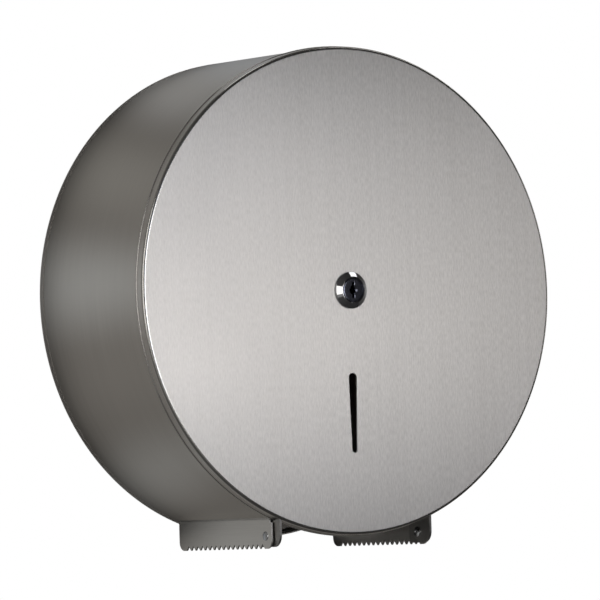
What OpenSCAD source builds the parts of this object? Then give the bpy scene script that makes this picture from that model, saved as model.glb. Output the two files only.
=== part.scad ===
// Wall-mounted drum dispenser for a jumbo toilet roll.
// Frame: X to the right, Z up, +Y into the wall. The origin is on the wall, on the drum's axis.
// Parts are drawn in front-view coordinates, x right and y up, with z the distance from the wall,
// and from_wall() turns them into the frame.

/* [Drum] */
// Distance from the wall to the lid's front face
body_depth = 126; // [115:1:145]
// Thickness of the band's sheet steel
band_t = 1; // [0.8:0.1:1.5]
// Thickness of the rear panel's sheet steel
panel_t = 1; // [0.8:0.1:1.5]
// Outer radius of the rear panel's turned corner
panel_corner_r = 2.5; // [1.6:0.1:3.5]
// Depth of the rear panel's turned flange
panel_flange = 5.5; // [4.5:0.1:7.5]

/* [Wall fixing] */
// Distance between wall holes, across and up
wall_pitch = 150; // [120:1:170]
// Diameter of a wall hole
wall_hole_d = 6.5; // [5:0.1:8]

/* [Tear blades] */
// Width over the outer faces of the two blades
outlet_w = 120; // [100:1:130]
// Distance from the wall to the blades' rear edges
blade_back = 10.5; // [9:0.1:14]
// Thickness of a blade
blade_t = 1.2; // [1:0.1:1.5]
// How far the teeth reach below the band's neck
blade_drop = 8.5; // [7.5:0.1:12]
// Gap between a blade's front edge and the plane of the lid's face
blade_front = 7.5; // [6.5:0.1:8.5]
// Radius of a blade's lower corners
blade_corner_r = 5.5; // [3:0.1:6]
// Number of teeth on a blade
tooth_count = 16; // [10:1:16]
// Distance between teeth
tooth_pitch = 5.4; // [4:0.1:5.5]
// Height of a tooth
tooth_h = 3; // [2:0.1:3.5]
// Width of a blade's welding flange inside the band
blade_flange_w = 14; // [8:0.5:20]

/* [Lid] */
// Outer diameter of the lid
lid_d = 310; // [275:1:335]
// Thickness of the lid's sheet steel
lid_t = 1; // [0.8:0.1:1.5]
// Depth of the lid's rim
lid_rim = 8; // [7:0.1:8.5]
// Outer radius of the lid's corner
lid_corner_r = 2; // [1.6:0.1:2.4]
// Clearance between the rim and the band's neck
rim_gap = 0.6; // [0.5:0.05:1]

/* [Level slot] */
// Height of the slot's upper end below the drum's axis
slot_top = 52.3; // [40:0.1:60]
// Length of the slot
slot_l = 50.7; // [30:0.1:60]
// Width of the slot at its upper end
slot_top_w = 6.2; // [4:0.1:8]
// Width of the slot at its lower end
slot_low_w = 3.8; // [2.5:0.1:4]

/* [Lid hinge] */
// Height of the pin below the band's neck
pin_drop = 0.5; // [0:0.1:1.5]
// Distance from the back of the lid to the pin
pin_inset = 13.5; // [12.5:0.1:15]
// Thickness of the hinge bracket
ear_t = 1.5; // [1.2:0.1:2]
// Width of a hinge ear from front to back
ear_w = 23; // [20:0.5:26]
// Width of an ear's neck inside the drum
neck_w = 12; // [10:0.5:14]
// Radius of an ear's lower front corner
ear_corner_r = 7.5; // [4:0.1:8]
// Height of the strip that joins the ears
strip_h = 20; // [12:1:30]
// Thickness of the washer between an ear and its blade
hinge_washer_t = 0.8; // [0.5:0.1:2]
// Diameter of that washer
hinge_washer_d = 9; // [7:0.1:12]
// Diameter of the hinge rivet's shank
rivet_d = 4; // [3:0.1:5]
// Diameter of the rivet's outer head
rivet_head_d = 6; // [5.5:0.1:8]
// Diameter of the rivet's inner tail
rivet_tail_d = 6.4; // [6:0.1:8]

/* [Lock] */
// Diameter of the lock's bezel
bezel_d = 23.4; // [21.5:0.1:26]
// Height of the bezel above the lid's face
bezel_h = 4; // [3.2:0.1:5]
// Diameter of the threaded barrel
barrel_d = 19; // [18.4:0.1:20]
// Length of the barrel behind the lid's face
barrel_l = 20; // [18:0.1:22]
// Diameter of the plug's visible face
plug_face_d = 15.4; // [15:0.1:16.4]
// Diameter of the plug inside the barrel
plug_d = 13; // [12:0.1:14]
// Height of the keyway
key_h = 10; // [8:0.1:11]
// Width of the keyway
key_w = 1.8; // [1.2:0.1:2.2]
// Diameter of the round middle of the keyway
key_round_d = 4.4; // [3:0.1:5]
// Reach of the cam from the plug's axis
cam_reach = 16; // [14:0.1:16.3]
// Width of the cam's arm
cam_w = 9; // [8:0.1:10]
// Thickness of the cam
cam_t = 2; // [1.5:0.1:2.5]
// Thickness of the lock's ring nut
lock_nut_t = 3.5; // [3:0.1:5]
// Distance across the flats of the ring nut
lock_nut_flats = 24; // [23:0.1:27]

/* [Spindle] */
// Diameter of the fixed tube that carries the sleeve
tube_d = 45; // [43:0.1:48]
// Inner diameter of the tube
tube_bore_d = 34.4; // [33.6:0.1:36]
// Diameter of the tube's base
base_d = 80; // [76:0.5:90]
// Thickness of the tube's base
base_t = 3; // [2.5:0.1:4]
// Thickness of the wall of the core sleeve
sleeve_t = 2.2; // [2:0.1:3]
// Diameter of the sleeve's rear flange
sleeve_flange_d = 68; // [60:0.5:74]
// Thickness of the sleeve's rear flange
sleeve_flange_t = 2.5; // [2:0.1:4]
// Running clearance of the sleeve on its tube
sleeve_gap = 0.3; // [0.2:0.05:0.5]
// Thickness of the keeper plate on the tube's end
keeper_t = 1.5; // [1.2:0.1:2]
// Diameter of the keeper's round hole
keeper_hole_d = 24; // [23:0.1:25]
// Gap between the keeper's rear face and the cam
cam_gap = 1.2; // [0.8:0.1:1.5]

/* [Hidden] */
$fn = 96;

// Fits
seat = 0.05;          // between pieces that are welded or clamped together on a curve
slide = 0.08;         // between a pin and the hole that turns on it
tight = 0.02;         // between a pin and the hole that holds it
play = 0.1;           // along an axis, between faces that turn on each other
gap = 0.3;            // between a moving piece and what stands beside it
cut = 1;              // how far a cutting tool overshoots

// Colours
steel = [0.72, 0.71, 0.70];
bracket_steel = [0.62, 0.62, 0.61];
zinc = [0.70, 0.71, 0.73];
chrome = [0.45, 0.46, 0.50];
cast_alloy = [0.66, 0.67, 0.68];
white_plastic = [0.90, 0.90, 0.87];

// Lid
lid_r = lid_d / 2;
lid_back = body_depth - lid_rim;
lid_inside = body_depth - lid_t;
bead_h = 0.6;                                  // bead pressed outwards all round the rim
bead_w = 1.2;
bead_flat = 0.5;                               // width of its crest
bead_set = 0.2;                                // from the rim's edge to the bead

// Drum. The band is swaged to a narrower neck at each end, one under the lid's rim and one in the panel
neck_r = lid_r - lid_t - rim_gap;
neck_in_r = neck_r - band_t;
rim_proud = 0.4;                               // how far the rim stands out past the band
band_r = lid_r - rim_proud;
band_in_r = band_r - band_t;
neck_gap = 0.5;                                // between a step of the band and the edge beside it
front_step = lid_back - neck_gap;
back_step = panel_flange + neck_gap;
face_gap = 0.5;                                // between the band's front edge and the lid
band_back = panel_corner_r + seat;
band_front = lid_inside - face_gap;
panel_r = neck_r + seat + panel_t;
outlet_half = outlet_w / 2;

// Tear blades
blade_tip = neck_r + blade_drop;               // below the axis
blade_flange_r = band_in_r - seat;
blade_nose = body_depth - blade_front;         // front edge under the rim
shoulder_gap = 1.5;                            // between the rim's edge and the blade behind it
blade_shoulder = lid_back - shoulder_gap;      // front edge beside the band
nose_gap = 2.6;                                // between the rim and the nose below it
blade_nose_top = sqrt(pow(lid_r, 2) - pow(outlet_half, 2)) + nose_gap;
blade_flange_front = front_step - band_t - seat;
blade_root = sqrt(pow(blade_flange_r - blade_t, 2) - pow(outlet_half, 2));
tooth_land = 0.4;                              // width of a tooth's blunt tip
teeth_l = tooth_count * tooth_pitch;
teeth_back = (blade_back + blade_nose - teeth_l) / 2;

// Lid hinge
pin_down = neck_r + pin_drop;
pin_out = lid_inside - pin_inset;
pin_r = rivet_d / 2;
ear_out = outlet_half - blade_t - hinge_washer_t - play;
ear_in = ear_out - ear_t;
ear_back = lid_inside - ear_w;
ear_step = 1;                                  // how far the teeth reach below the ears
ear_tip = blade_tip - ear_step;
ear_back_corner_r = 4;
ear_neck_back = lid_inside - neck_w;
ear_neck_low = sqrt(pow(neck_in_r, 2) - pow(outlet_half, 2));
strip_gap = 3;                                 // between the strip and the necks' lower ends
strip_low = ear_neck_low - strip_gap;
strip_top = strip_low - strip_h;
ear_slit = ear_t + 2 * gap;
rivet_head_t = 0.7;
rivet_tail_t = 1.1;

// Lock
bezel_r = bezel_d / 2;
bezel_edge = 1;                                // width of the bezel's front edge
bezel_top_r = plug_face_d / 2 + bezel_edge;
barrel_r = barrel_d / 2;
barrel_flat_cut = 1.25;
barrel_flats = barrel_d - 2 * barrel_flat_cut;
barrel_back = body_depth - barrel_l;
plug_r = plug_d / 2;
plug_face_r = plug_face_d / 2;
plug_face_t = 3;
plug_front = body_depth + bezel_h - gap;
plug_head_back = plug_front - plug_face_t;
recess_gap = 0.25;
recess_r = plug_face_r + recess_gap;
keyway_floor = 3;
keyway_back = barrel_back + keyway_floor;
lock_washer_t = 0.8;
lock_washer_w = 3.5;
lock_washer_r = barrel_r + lock_washer_w;
thread_end = 1;                                // how far a thread stands out of its nut
cam_front = barrel_back - 2 * play;
cam_back = cam_front - cam_t;
tail_w = 7;
cam_hub_w = 3.4;                               // from the tail's flats to the hub's rim
cam_tip_r = 2;
cam_washer_t = 0.8;
cam_washer_w = 3;
cam_nut_t = 3;
cam_nut_flats = 10;
cam_stud_r = 3;
cam_stud_back = cam_back - cam_washer_t - cam_nut_t - thread_end;

// Spindle
keeper_back = cam_front + cam_gap;
keeper_front = keeper_back + keeper_t;
tube_r = tube_d / 2;
tube_bore_r = tube_bore_d / 2;
base_back = panel_t;
base_front = base_back + base_t;
collar_w = 2;
collar_r = tube_r + collar_w;
stud_r = 2;
stud_pitch_r = (base_d / 2 + collar_r) / 2;
stud_nut_t = 3.2;
stud_nut_flats = 7;
stud_front = base_front + stud_nut_t + thread_end;
stud_gap = 1.2;                                // between the studs' ends and the sleeve
sleeve_back = stud_front + stud_gap;
sleeve_front = keeper_back - gap;
sleeve_chamfer = 1;
collar_front = sleeve_back - gap;
sleeve_in_r = tube_r + sleeve_gap;
sleeve_r = sleeve_in_r + sleeve_t;
keeper_step = 0.7;                             // the keeper is this much smaller than the sleeve
keeper_r = sleeve_r - keeper_step;
keeper_side_gap = 1.5;
keeper_slot_w = cam_w + 2 * keeper_side_gap;
keeper_end_gap = 0.8;
keeper_slot_top = cam_reach + keeper_end_gap;
keeper_screw_r = 1.4;
keeper_screw_l = 8;
keeper_screw_pitch_r = (tube_bore_r + tube_r) / 2;
keeper_head_r = 2.6;
keeper_head_t = 1.6;
cross_l = 3.4;                                 // the screws' cross recess
cross_w = 0.8;
cross_depth = 0.8;

// Turns front-view coordinates into the frame
module from_wall() {
    rotate([90, 0, 0]) children();
}

// Stands a side view, drawn with x away from the wall and y up, on the plane x = at
// and gives it a thickness towards smaller x
module side_plate(at, t) {
    translate([at, 0, 0]) rotate([0, -90, 0]) linear_extrude(t) children();
}

// Repeats its children on the right-hand side by mirroring
module on_side(right) {
    if (right) mirror([1, 0, 0]) children();
    else children();
}

// Section of a pressed pan's outside: a block with one rounded outer corner
module pan_block(r, h, corner_r) {
    square([r - corner_r, h]);
    square([r, h - corner_r]);
    translate([r - corner_r, h - corner_r]) circle(corner_r);
}

// Section of a pressed pan with its open edge at y = 0
module pan_section(r, h, t, corner_r) {
    difference() {
        pan_block(r, h, corner_r);
        translate([0, -cut]) pan_block(r - t, h - t + cut, corner_r - t);
    }
}

// Ring or disc between two distances from the wall
module ring(r, back, front, hole_r = 0) {
    translate([0, 0, back]) difference() {
        cylinder(r = r, h = front - back);
        if (hole_r > 0) translate([0, 0, -cut]) cylinder(r = hole_r, h = front - back + 2 * cut);
    }
}

// Hexagon nut
module hex_nut(flats, back, front, hole_r) {
    translate([0, 0, back]) difference() {
        cylinder(d = flats / cos(30), h = front - back, $fn = 6);
        translate([0, 0, -cut]) cylinder(r = hole_r, h = front - back + 2 * cut);
    }
}

// Rod along x between two places
module cross_rod(r, from, to) {
    translate([from, 0, 0]) rotate([0, 90, 0]) cylinder(r = r, h = to - from);
}

// Places for what is repeated
module at_pin() {
    translate([0, -pin_down, pin_out]) children();
}

module at_studs() {
    for (a = [45 : 90 : 315]) rotate([0, 0, a]) translate([stud_pitch_r, 0, 0]) children();
}

module at_keeper_screws() {
    for (a = [30 : 120 : 270]) rotate([0, 0, a]) translate([keeper_screw_pitch_r, 0, 0]) children();
}

module rear_panel() {
    color(steel) from_wall() difference() {
        translate([0, 0, panel_flange]) mirror([0, 0, 1]) rotate_extrude()
            pan_section(panel_r, panel_flange, panel_t, panel_corner_r);
        for (x = [-1, 1], y = [-1, 1])
            translate([x * wall_pitch / 2, y * wall_pitch / 2, -cut])
                cylinder(d = wall_hole_d, h = panel_t + 2 * cut);
    }
}

// Section of the band's outside: the neck, and the drum with its rounded steps
module band_block(neck, r, back, front, corner_r) {
    translate([0, band_back]) square([neck, band_front - band_back]);
    translate([0, back]) square([r - corner_r, front - back]);
    translate([0, back + corner_r]) square([r, front - back - 2 * corner_r]);
    for (y = [back + corner_r, front - corner_r]) translate([r - corner_r, y]) circle(corner_r);
}

// The same section inside, where the steps are sharp
module band_hollow() {
    translate([0, band_back - cut]) square([neck_in_r, band_front - band_back + 2 * cut]);
    translate([0, back_step + band_t]) square([band_in_r, front_step - back_step - 2 * band_t]);
}

module drum_band() {
    color(steel) from_wall() difference() {
        rotate_extrude() difference() {
            band_block(neck_r, band_r, back_step, front_step, band_r - neck_r);
            band_hollow();
        }
        translate([-outlet_half - seat, -band_r - cut, blade_back])
            cube([outlet_w + 2 * seat, band_r, body_depth]);
    }
}

// Row of notches that leaves teeth between them
module notches() {
    half = tooth_pitch / 2 - tooth_land / 2;
    for (i = [0 : tooth_count])
        translate([teeth_back + i * tooth_pitch, -blade_tip])
            polygon([[-half, -cut], [-half, 0], [0, tooth_h], [half, 0], [half, -cut]]);
}

// Side view of a blade's plate
module blade_outline() {
    difference() {
        union() {
            translate([blade_back, -blade_tip + blade_corner_r])
                square([blade_shoulder - blade_back, blade_tip - blade_corner_r - blade_root]);
            translate([blade_back, -blade_tip + blade_corner_r])
                square([blade_nose - blade_back, blade_tip - blade_corner_r - blade_nose_top]);
            translate([blade_back + blade_corner_r, -blade_tip])
                square([blade_nose - blade_back - 2 * blade_corner_r, 2 * blade_corner_r]);
            for (z = [blade_back + blade_corner_r, blade_nose - blade_corner_r])
                translate([z, -blade_tip + blade_corner_r]) circle(blade_corner_r);
        }
        notches();
    }
}

// Flange that follows the band's inner face, beside the blade's plate
module blade_flange() {
    intersection() {
        ring(blade_flange_r, blade_back, blade_flange_front, blade_flange_r - blade_t);
        translate([-outlet_half - blade_flange_w, -band_r, 0])
            cube([blade_flange_w + blade_t, band_r, body_depth]);
    }
}

module tear_blade(right) {
    color(steel) from_wall() on_side(right) difference() {
        union() {
            side_plate(-outlet_half + blade_t, blade_t) blade_outline();
            blade_flange();
        }
        at_pin() cross_rod(pin_r + tight, -outlet_half - cut, -outlet_half + blade_t + cut);
    }
}

module spindle_base() {
    color(cast_alloy) from_wall() difference() {
        union() {
            ring(base_d / 2, base_back, base_front);
            ring(collar_r, base_back, collar_front);
        }
        ring(tube_r + seat, base_front, collar_front + cut);
        at_studs() ring(stud_r + play, base_back - cut, base_front + cut);
    }
}

module spindle_tube() {
    color(cast_alloy) from_wall() difference() {
        ring(tube_r, base_front, keeper_back, tube_bore_r);
        at_keeper_screws() ring(keeper_screw_r + tight, keeper_back - keeper_screw_l, keeper_back + cut);
    }
}

module spindle_studs() {
    color(zinc) from_wall() at_studs() ring(stud_r, panel_t, stud_front);
}

module spindle_nuts() {
    color(zinc) from_wall() at_studs()
        hex_nut(stud_nut_flats, base_front, base_front + stud_nut_t, stud_r + tight);
}

module core_sleeve() {
    color(white_plastic) from_wall() difference() {
        union() {
            ring(sleeve_flange_d / 2, sleeve_back, sleeve_back + sleeve_flange_t);
            ring(sleeve_r, sleeve_back, sleeve_front - sleeve_chamfer);
            translate([0, 0, sleeve_front - sleeve_chamfer])
                cylinder(r1 = sleeve_r, r2 = sleeve_r - sleeve_chamfer, h = sleeve_chamfer);
        }
        ring(sleeve_in_r, sleeve_back - cut, sleeve_front + cut);
    }
}

module latch_keeper() {
    color(bracket_steel) from_wall() difference() {
        ring(keeper_r, keeper_back, keeper_front, keeper_hole_d / 2);
        translate([-keeper_slot_w / 2, 0, keeper_back - cut])
            cube([keeper_slot_w, keeper_slot_top, keeper_t + 2 * cut]);
        at_keeper_screws() ring(keeper_screw_r + play, keeper_back - cut, keeper_front + cut);
    }
}

module keeper_screws() {
    color(zinc) from_wall() at_keeper_screws() difference() {
        union() {
            ring(keeper_screw_r, keeper_back - keeper_screw_l + gap, keeper_front + tight);
            ring(keeper_head_r, keeper_front, keeper_front + keeper_head_t);
        }
        for (a = [0, 90]) rotate([0, 0, a])
            translate([-cross_l / 2, -cross_w / 2, keeper_front + keeper_head_t - cross_depth])
                cube([cross_l, cross_w, cross_depth + cut]);
    }
}

module hinge_rivets() {
    tail = -ear_in + play;
    color(zinc) from_wall() for (right = [false, true]) on_side(right) at_pin() {
        cross_rod(rivet_head_d / 2, -outlet_half - rivet_head_t, -outlet_half);
        cross_rod(pin_r, -outlet_half - rivet_head_t / 2, tail + rivet_tail_t / 2);
        cross_rod(rivet_tail_d / 2, tail, tail + rivet_tail_t);
    }
}

// Spacers on the rivets, between the blades and the ears
module hinge_washers() {
    outer = -outlet_half + blade_t;
    color(zinc) from_wall() for (right = [false, true]) on_side(right) at_pin() difference() {
        cross_rod(hinge_washer_d / 2, outer, outer + hinge_washer_t);
        cross_rod(pin_r + tight, outer - cut, outer + hinge_washer_t + cut);
    }
}

// Tapered slot with round ends, as a flat outline
module level_slot() {
    top_r = slot_top_w / 2;
    low_r = slot_low_w / 2;
    top_y = -slot_top - top_r;
    low_y = -slot_top - slot_l + low_r;
    lean = asin((top_r - low_r) / (top_y - low_y));
    translate([0, top_y]) circle(top_r);
    translate([0, low_y]) circle(low_r);
    polygon([
        [-top_r * cos(lean), top_y + top_r * sin(lean)], [-low_r * cos(lean), low_y + low_r * sin(lean)],
        [low_r * cos(lean), low_y + low_r * sin(lean)], [top_r * cos(lean), top_y + top_r * sin(lean)]
    ]);
}

// Round bar with two flats, as a flat outline
module barrel_outline(gap) {
    intersection() {
        circle(barrel_r + gap);
        square([2 * barrel_r + cut, barrel_flats + 2 * gap], center = true);
    }
}

// Section of the lid: the pan, and the bead near its open edge
module lid_section() {
    middle = bead_set + bead_w / 2;
    root = lid_r - lid_t / 2;
    pan_section(lid_r, lid_rim, lid_t, lid_corner_r);
    polygon([
        [root, middle - bead_w / 2], [lid_r, middle - bead_w / 2], [lid_r + bead_h, middle - bead_flat / 2],
        [lid_r + bead_h, middle + bead_flat / 2], [lid_r, middle + bead_w / 2], [root, middle + bead_w / 2]
    ]);
}

module lid_shell() {
    slit_height = lid_r - ear_neck_low;
    color(steel) from_wall() difference() {
        translate([0, 0, lid_back]) rotate_extrude() lid_section();
        translate([0, 0, lid_inside - cut]) linear_extrude(lid_t + 2 * cut) {
            level_slot();
            barrel_outline(play);
        }
        for (side = [-1, 1])
            translate([side * (ear_in + ear_t / 2) - ear_slit / 2, -lid_r, lid_back - cut])
                cube([ear_slit, slit_height, cut + lid_inside + play - lid_back]);
    }
}

// Side view of a hinge ear
module ear_outline() {
    difference() {
        union() {
            translate([ear_back, -ear_tip + ear_corner_r])
                square([ear_w, ear_tip - ear_corner_r - ear_neck_low]);
            translate([ear_back + ear_back_corner_r, -ear_tip])
                square([ear_w - ear_back_corner_r - ear_corner_r, 2 * ear_back_corner_r]);
            translate([lid_inside - ear_corner_r, -ear_tip + ear_corner_r]) circle(ear_corner_r);
            translate([ear_back + ear_back_corner_r, -ear_tip + ear_back_corner_r])
                circle(ear_back_corner_r);
            translate([ear_back, -ear_tip + ear_back_corner_r]) square([ear_w / 2, ear_corner_r]);
            translate([ear_neck_back, -ear_neck_low - cut]) square([neck_w, ear_neck_low + cut - strip_top]);
        }
        translate([pin_out, -pin_down]) circle(pin_r + slide);
    }
}

module lid_hinge_bracket() {
    color(bracket_steel) from_wall() {
        for (right = [false, true]) on_side(right) side_plate(-ear_in, ear_t) ear_outline();
        translate([-ear_out, -strip_low, lid_inside - ear_t]) cube([2 * ear_out, strip_h, ear_t]);
    }
}

module lock_body() {
    color(chrome) from_wall() difference() {
        union() {
            translate([0, 0, body_depth]) cylinder(r1 = bezel_r, r2 = bezel_top_r, h = bezel_h);
            translate([0, 0, barrel_back]) linear_extrude(barrel_l + tight) barrel_outline(0);
        }
        ring(plug_r + slide, barrel_back - cut, body_depth + bezel_h + cut);
        ring(recess_r, plug_head_back - play, body_depth + bezel_h + cut);
    }
}

module lock_washer() {
    color(zinc) from_wall() ring(lock_washer_r, lid_inside - lock_washer_t, lid_inside, barrel_r + play);
}

module lock_nut() {
    front = lid_inside - lock_washer_t;
    color(zinc) from_wall() hex_nut(lock_nut_flats, front - lock_nut_t, front, barrel_r + tight);
}

// Opening that the key enters, as a flat outline
module keyway() {
    circle(d = key_round_d);
    square([key_w, key_h], center = true);
}

module lock_plug() {
    color(chrome) from_wall() difference() {
        union() {
            ring(plug_face_r, plug_head_back, plug_front);
            ring(plug_r, cam_front, plug_head_back + tight);
            translate([-tail_w / 2, -tail_w / 2, cam_back]) cube([tail_w, tail_w, cam_t + tight]);
            ring(cam_stud_r, cam_stud_back, cam_back + tight);
        }
        translate([0, 0, keyway_back]) linear_extrude(plug_front - keyway_back + cut) keyway();
    }
}

module lock_cam() {
    hub_r = tail_w / 2 + cam_hub_w;
    color(zinc) from_wall() translate([0, 0, cam_back]) linear_extrude(cam_t) difference() {
        union() {
            circle(hub_r);
            translate([-cam_w / 2, 0]) square([cam_w, cam_reach - cam_tip_r]);
            translate([-cam_w / 2 + cam_tip_r, 0]) square([cam_w - 2 * cam_tip_r, cam_reach]);
            for (side = [-1, 1])
                translate([side * (cam_w / 2 - cam_tip_r), cam_reach - cam_tip_r]) circle(cam_tip_r);
        }
        square(tail_w + 2 * tight, center = true);
    }
}

module cam_washer() {
    color(zinc) from_wall()
        ring(cam_stud_r + cam_washer_w, cam_back - cam_washer_t, cam_back, cam_stud_r + play);
}

module cam_nut() {
    front = cam_back - cam_washer_t;
    color(zinc) from_wall() hex_nut(cam_nut_flats, front - cam_nut_t, front, cam_stud_r + tight);
}

rear_panel();
drum_band();
tear_blade(false);  // tear_blade_left
tear_blade(true);  // tear_blade_right
spindle_base();
spindle_tube();
spindle_studs();
spindle_nuts();
core_sleeve();
latch_keeper();
keeper_screws();
hinge_rivets();
hinge_washers();
lid_shell();
lid_hinge_bracket();
lock_body();
lock_washer();
lock_nut();
lock_plug();
lock_cam();
cam_washer();
cam_nut();
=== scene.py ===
import bmesh
import bpy
import math
from mathutils import Matrix, Vector


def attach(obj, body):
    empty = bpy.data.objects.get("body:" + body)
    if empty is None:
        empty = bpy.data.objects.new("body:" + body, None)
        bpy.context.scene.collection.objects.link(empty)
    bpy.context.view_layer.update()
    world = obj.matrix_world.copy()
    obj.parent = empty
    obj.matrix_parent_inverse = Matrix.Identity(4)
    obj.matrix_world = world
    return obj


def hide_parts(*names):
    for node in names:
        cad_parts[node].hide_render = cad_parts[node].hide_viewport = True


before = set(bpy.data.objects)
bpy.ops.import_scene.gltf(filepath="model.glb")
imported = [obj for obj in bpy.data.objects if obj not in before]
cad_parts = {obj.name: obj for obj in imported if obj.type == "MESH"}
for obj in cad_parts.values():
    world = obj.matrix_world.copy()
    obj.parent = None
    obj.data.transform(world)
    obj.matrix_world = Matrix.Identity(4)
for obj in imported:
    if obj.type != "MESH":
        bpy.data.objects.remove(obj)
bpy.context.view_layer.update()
mm = 0.001
drumR = 0.155   # metres
print("frame loaded")

# camera: left of the front, level with the drum
view = {
    "yaw": 33.61, "pitch": 2.28, "roll": -1.69,   # degrees
    "aim": (5.53, -60.0, -2.92), "away": 3813.7,   # mm
    "lens": 355.9, "sensor": 36.0,
}
yaw, pitch, roll = (math.radians(view[turn]) for turn in ("yaw", "pitch", "roll"))
ahead = Vector((math.sin(yaw) * math.cos(pitch), math.cos(yaw) * math.cos(pitch), math.sin(pitch)))
level = Vector((math.cos(yaw), -math.sin(yaw), 0))
upright = level.cross(ahead)
right = level * math.cos(roll) + upright * math.sin(roll)
up = upright * math.cos(roll) - level * math.sin(roll)
bpy.ops.object.camera_add()
camera = bpy.context.object
camera.matrix_world = Matrix.Translation((Vector(view["aim"]) - ahead * view["away"]) * mm) @ Matrix(
    (right, up, -ahead)).transposed().to_4x4()
camera.data.lens = view["lens"]
camera.data.sensor_width = view["sensor"]
camera.data.clip_end = 50
bpy.context.scene.camera = camera
print("camera placed")


# tools; they take lengths in mm and angles in degrees
def deselect():
    if bpy.context.mode != "OBJECT":
        bpy.ops.object.mode_set(mode="OBJECT")
    bpy.ops.object.select_all(action="DESELECT")


def activate(piece):
    deselect()
    piece.select_set(True)
    bpy.context.view_layer.objects.active = piece


def editing(piece):
    activate(piece)
    bpy.ops.object.mode_set(mode="EDIT")
    bpy.ops.mesh.select_all(action="DESELECT")


def pickVerts(test):
    # selects corners by place
    bpy.ops.mesh.select_mode(type="VERT")
    piece = bpy.context.edit_object
    mesh = bmesh.from_edit_mesh(piece.data)
    for vert in mesh.verts:
        vert.select_set(test(piece.matrix_world @ vert.co / mm))
    mesh.select_flush_mode()
    bmesh.update_edit_mesh(piece.data)


def tidyMesh():
    # merges what meets and turns every face outwards
    bpy.ops.mesh.select_all(action="SELECT")
    bpy.ops.mesh.remove_doubles(threshold=0.000002)
    bpy.ops.mesh.normals_make_consistent(inside=False)
    bpy.ops.object.mode_set(mode="OBJECT")


def drawLine(name, points):
    # one corner, extruded from point to point
    deselect()
    bpy.ops.mesh.primitive_plane_add(size=mm, location=Vector(points[0]) * mm)
    line = bpy.context.object
    line.name = name
    bpy.ops.object.mode_set(mode="EDIT")
    bpy.ops.mesh.select_all(action="SELECT")
    bpy.ops.mesh.merge(type="CENTER")
    for here, there in zip(points, points[1:]):
        step = (Vector(there) - Vector(here)) * mm
        bpy.ops.mesh.extrude_vertices_move(TRANSFORM_OT_translate={"value": step})
    return line


def turned(name, profile, steps=64, axis="Y", centre=(0, 0, 0)):
    # spins a profile of (radius, distance) points; the distance is from the wall on Y, from the middle on X
    middle = Vector(centre)
    if axis == "Y":
        points = [(middle.x + r, -away, middle.z) for r, away in profile]
    else:
        points = [(away, middle.y, middle.z + r) for r, away in profile]
    piece = drawLine(name, points)
    bpy.ops.mesh.select_all(action="SELECT")
    spinAxis = (0, 1, 0) if axis == "Y" else (1, 0, 0)
    bpy.ops.mesh.spin(steps=steps, angle=math.tau, center=middle * mm, axis=spinAxis)
    tidyMesh()
    return piece


def plate(name, points, push):
    # fills a closed outline and pushes it to its thickness
    piece = drawLine(name, points)
    bpy.ops.mesh.select_all(action="SELECT")
    bpy.ops.mesh.edge_face_add()
    bpy.ops.mesh.extrude_region_move(TRANSFORM_OT_translate={"value": Vector(push) * mm})
    tidyMesh()
    return piece


def arc(centre, r, start, end, count):
    # points on an arc, as (across, along) pairs
    turns = [math.radians(start + (end - start) * i / count) for i in range(count + 1)]
    return [(centre[0] + r * math.cos(a), centre[1] + r * math.sin(a)) for a in turns]


def block(low, high):
    # a box between two corners
    deselect()
    low, high = Vector(low), Vector(high)
    bpy.ops.mesh.primitive_cube_add(size=1, location=(low + high) / 2 * mm, scale=(high - low) * mm)
    return bpy.context.object


def peg(r, back, front, x=0, z=0, vertices=48):
    # a round bar along Y
    deselect()
    bpy.ops.mesh.primitive_cylinder_add(
        vertices=vertices, radius=r * mm, depth=(front - back) * mm,
        location=Vector((x, -(back + front) / 2, z)) * mm, rotation=(math.pi / 2, 0, 0))
    return bpy.context.object


def crossPeg(r, length, centre):
    # a round bar along X
    deselect()
    bpy.ops.mesh.primitive_cylinder_add(
        vertices=32, radius=r * mm, depth=length * mm,
        location=Vector(centre) * mm, rotation=(0, math.pi / 2, 0))
    return bpy.context.object


def useModifier(piece, kind, **settings):
    activate(piece)
    modifier = piece.modifiers.new(kind.lower(), kind)
    for setting, value in settings.items():
        setattr(modifier, setting, value)
    bpy.ops.object.modifier_apply(modifier=modifier.name)


def cutOut(piece, *cutters, how="DIFFERENCE"):
    for cutter in cutters:
        useModifier(piece, "BOOLEAN", object=cutter, operation=how, solver="EXACT")
        bpy.data.objects.remove(cutter)


def soften(piece, width, segments=2, angle=50):
    useModifier(piece, "BEVEL", width=width * mm, segments=segments, limit_method="ANGLE",
                angle_limit=math.radians(angle), use_clamp_overlap=True)


def joined(pieces):
    deselect()
    for piece in pieces:
        piece.select_set(True)
    bpy.context.view_layer.objects.active = pieces[0]
    bpy.ops.object.join()
    return pieces[0]


def duplicate(piece, change):
    # the same piece again with its own mesh, moved by a matrix
    activate(piece)
    bpy.ops.object.transform_apply()
    again = piece.copy()
    again.data = piece.data.copy()
    again.data.transform(change)
    bpy.context.collection.objects.link(again)
    return again


def turnedCopies(piece, turns):
    # the piece and its copies, turned about the drum's axis
    return [piece] + [duplicate(piece, Matrix.Rotation(math.radians(turn), 4, "Y")) for turn in turns]


def mirrored(piece):
    # a copy on the other side of the drum's middle
    again = duplicate(piece, Matrix.Scale(-1, 4, (1, 0, 0)))
    again.data.flip_normals()
    return again


def ringPlaces(r, angles):
    # places round the drum's axis
    return [(r * math.cos(math.radians(a)), r * math.sin(math.radians(a))) for a in angles]


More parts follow.
